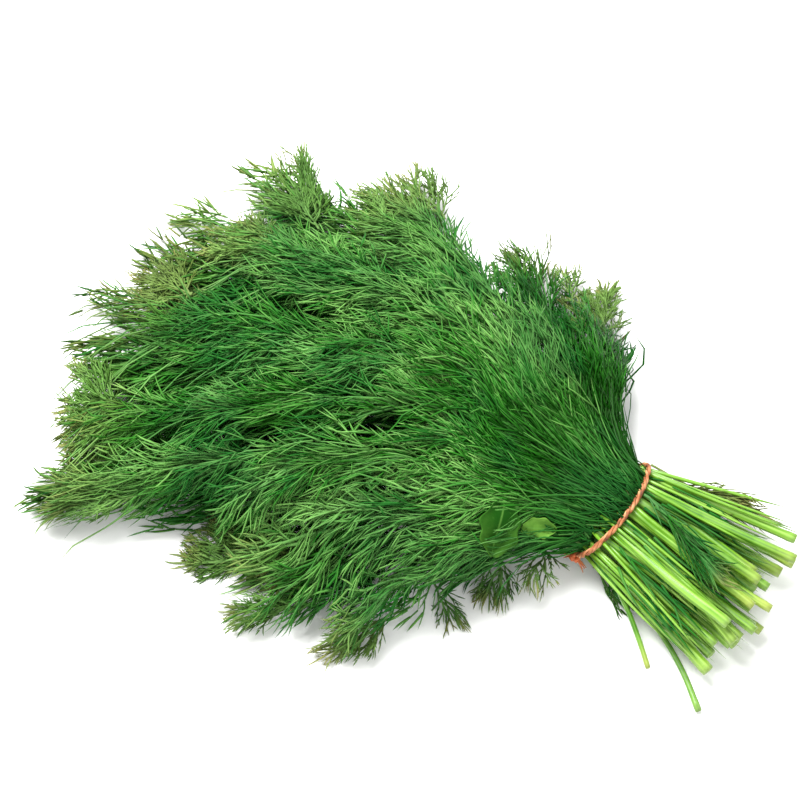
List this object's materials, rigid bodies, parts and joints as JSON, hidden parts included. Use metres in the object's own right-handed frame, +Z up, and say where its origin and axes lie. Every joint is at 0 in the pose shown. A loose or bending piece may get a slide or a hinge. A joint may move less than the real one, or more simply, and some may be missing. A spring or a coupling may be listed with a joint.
{
  "type": "dill bunch",
  "caption": "Tied bunch of fresh dill lying on its side: feathery fronds fanned out on one side of a twisted fibre tie, cut green stems on the other.",
  "frame": {"origin": "middle of the bunch's box in plan, on the surface that it lies on", "axes": "+X along the bunch towards the cut stem ends, the foliage fans out towards -X; +Y across the fan; +Z up, away from the surface"},
  "size_m": [0.3184, 0.2242, 0.0641],
  "materials": {
    "stem": "fresh green plant stem, smooth and slightly waxy",
    "frond": "thread-like green leaf, matte",
    "basal_frond": "short thread-like leaf at the stem bases, matte, a little dry",
    "flat_leaf": "flat green leaf, satin",
    "tie": "twisted plant-fibre strand, copper brown, matte"
  },
  "bodies": {
    "root": {"basal_frond_back": "basal_frond", "basal_frond_front": "basal_frond", "basal_frond_top": "basal_frond", "flat_leaf_large": "flat_leaf", "flat_leaf_small": "flat_leaf", "frond_1a": "frond", "frond_1b": "frond", "frond_2a": "frond", "frond_2b": "frond", "frond_2c": "frond", "frond_3a": "frond", "frond_3b": "frond", "frond_3c": "frond", "frond_4a": "frond", "frond_4b": "frond", "frond_4c": "frond", "frond_4d": "frond", "frond_5a": "frond", "frond_5b": "frond", "frond_5c": "frond", "frond_5d": "frond", "frond_6a": "frond", "frond_6b": "frond", "frond_6c": "frond", "frond_6d": "frond", "frond_7a": "frond", "frond_7b": "frond", "frond_7c": "frond", "frond_8a": "frond", "frond_8b": "frond", "frond_9a": "frond", "frond_9b": "frond", "stem_1a": "stem", "stem_1b": "stem", "stem_2a": "stem", "stem_2b": "stem", "stem_2c": "stem", "stem_3a": "stem", "stem_3b": "stem", "stem_3c": "stem", "stem_4a": "stem", "stem_4b": "stem", "stem_4c": "stem", "stem_4d": "stem", "stem_5a": "stem", "stem_5b": "stem", "stem_5c": "stem", "stem_5d": "stem", "stem_6a": "stem", "stem_6b": "stem", "stem_6c": "stem", "stem_6d": "stem", "stem_7a": "stem", "stem_7b": "stem", "stem_7c": "stem", "stem_8a": "stem", "stem_8b": "stem", "stem_9a": "stem", "stem_9b": "stem", "tie": "tie"}
  },
  "joints": []
}
